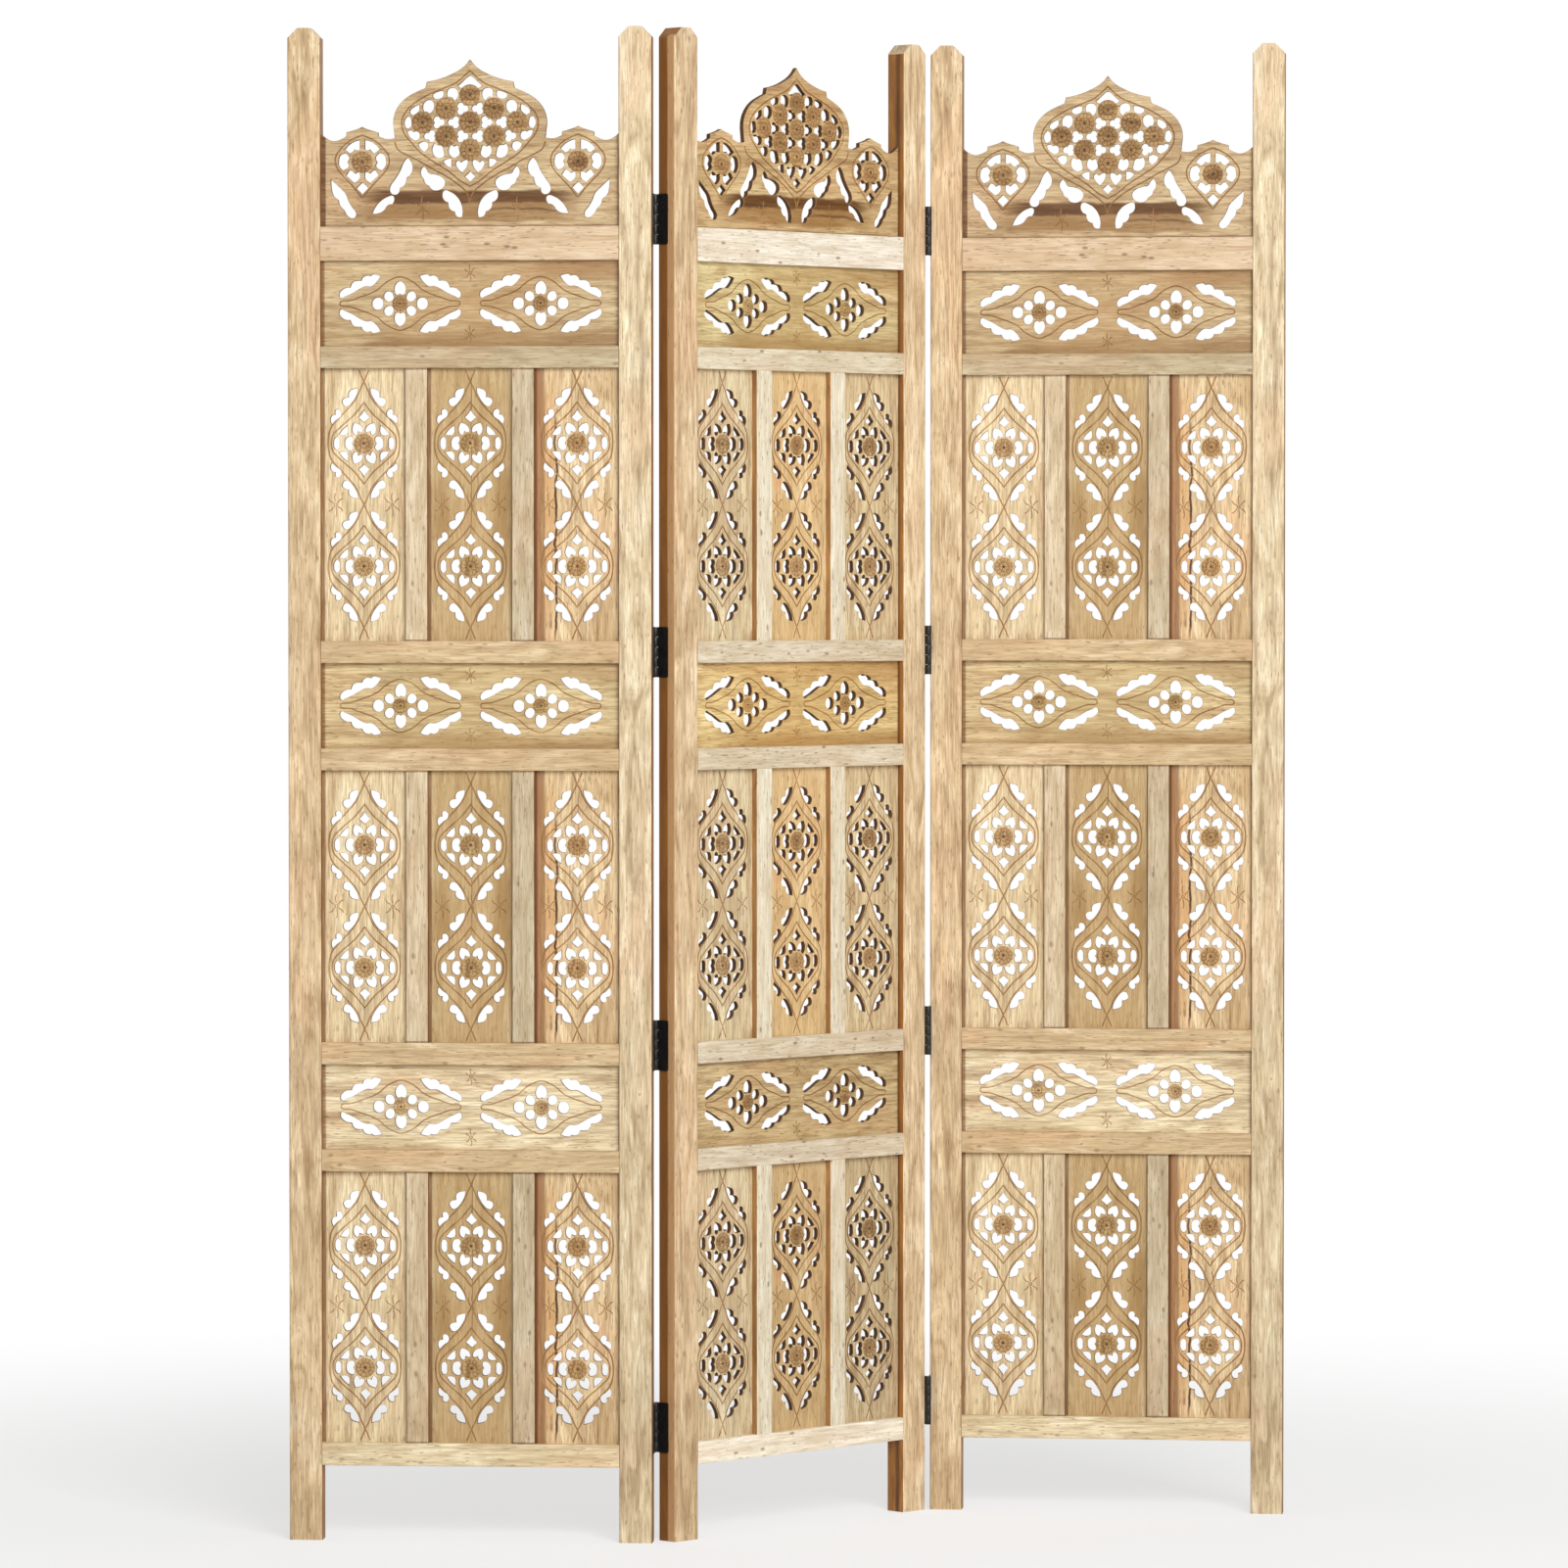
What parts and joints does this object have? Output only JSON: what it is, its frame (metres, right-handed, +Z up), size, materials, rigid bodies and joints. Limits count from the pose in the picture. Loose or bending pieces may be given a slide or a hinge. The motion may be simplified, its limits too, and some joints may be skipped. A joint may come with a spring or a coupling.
{
  "type": "folding room screen",
  "caption": "Folding wooden room screen: hinged leaves of posts and rails that hold pierced and carved boards, with an arched openwork crest on each leaf.",
  "frame": {"origin": "on the floor, under the middle of the box around the standing screen", "axes": "+Z up, the screen's front faces -Y, and +X runs to the right as seen from the front"},
  "size_m": [1.1116, 0.3084, 1.65],
  "materials": {
    "post_wood": "matt, lightly sealed",
    "rail_wood": "matt, lightly sealed",
    "muntin_wood": "matt, lightly sealed",
    "board_wood": "matt, hand carved",
    "crest_wood": "matt, hand carved",
    "hinge_steel": "black paint, satin",
    "pin_steel": "black paint, satin"
  },
  "bodies": {
    "left_leaf": {"left_left_post": "post_wood", "left_right_post": "post_wood", "left_bottom_rail": "rail_wood", "left_tier_1_rail": "rail_wood", "left_frieze_1_rail": "rail_wood", "left_tier_2_rail": "rail_wood", "left_frieze_2_rail": "rail_wood", "left_tier_3_rail": "rail_wood", "left_top_rail": "rail_wood", "left_muntins": "muntin_wood", "left_tier_1_boards": "board_wood", "left_tier_2_boards": "board_wood", "left_tier_3_boards": "board_wood", "left_frieze_1_board": "board_wood", "left_frieze_2_board": "board_wood", "left_frieze_3_board": "board_wood", "left_crest_board": "crest_wood", "left_fold_outer_plates": "hinge_steel"},
    "middle_leaf": {"middle_left_post": "post_wood", "middle_right_post": "post_wood", "middle_bottom_rail": "rail_wood", "middle_tier_1_rail": "rail_wood", "middle_frieze_1_rail": "rail_wood", "middle_tier_2_rail": "rail_wood", "middle_frieze_2_rail": "rail_wood", "middle_tier_3_rail": "rail_wood", "middle_top_rail": "rail_wood", "middle_muntins": "muntin_wood", "middle_tier_1_boards": "board_wood", "middle_tier_2_boards": "board_wood", "middle_tier_3_boards": "board_wood", "middle_frieze_1_board": "board_wood", "middle_frieze_2_board": "board_wood", "middle_frieze_3_board": "board_wood", "middle_crest_board": "crest_wood", "left_fold_middle_plates": "hinge_steel", "left_fold_pins": "pin_steel", "right_fold_middle_plates": "hinge_steel", "right_fold_pins": "pin_steel"},
    "right_leaf": {"right_left_post": "post_wood", "right_right_post": "post_wood", "right_bottom_rail": "rail_wood", "right_tier_1_rail": "rail_wood", "right_frieze_1_rail": "rail_wood", "right_tier_2_rail": "rail_wood", "right_frieze_2_rail": "rail_wood", "right_tier_3_rail": "rail_wood", "right_top_rail": "rail_wood", "right_muntins": "muntin_wood", "right_tier_1_boards": "board_wood", "right_tier_2_boards": "board_wood", "right_tier_3_boards": "board_wood", "right_frieze_1_board": "board_wood", "right_frieze_2_board": "board_wood", "right_frieze_3_board": "board_wood", "right_crest_board": "crest_wood", "right_fold_outer_plates": "hinge_steel"}
  },
  "joints": [
    {"name": "left_fold", "type": "hinge", "parent": "middle_leaf", "child": "left_leaf", "pos_m": [-0.15583, -0.12647, 0.783], "axis": [0, 0, 1], "range_deg": [-130, 50]},
    {"name": "right_fold", "type": "hinge", "parent": "middle_leaf", "child": "right_leaf", "pos_m": [0.15673, 0.12671, 0.783], "axis": [0, 0, 1], "range_deg": [-128, 52]}
  ]
}
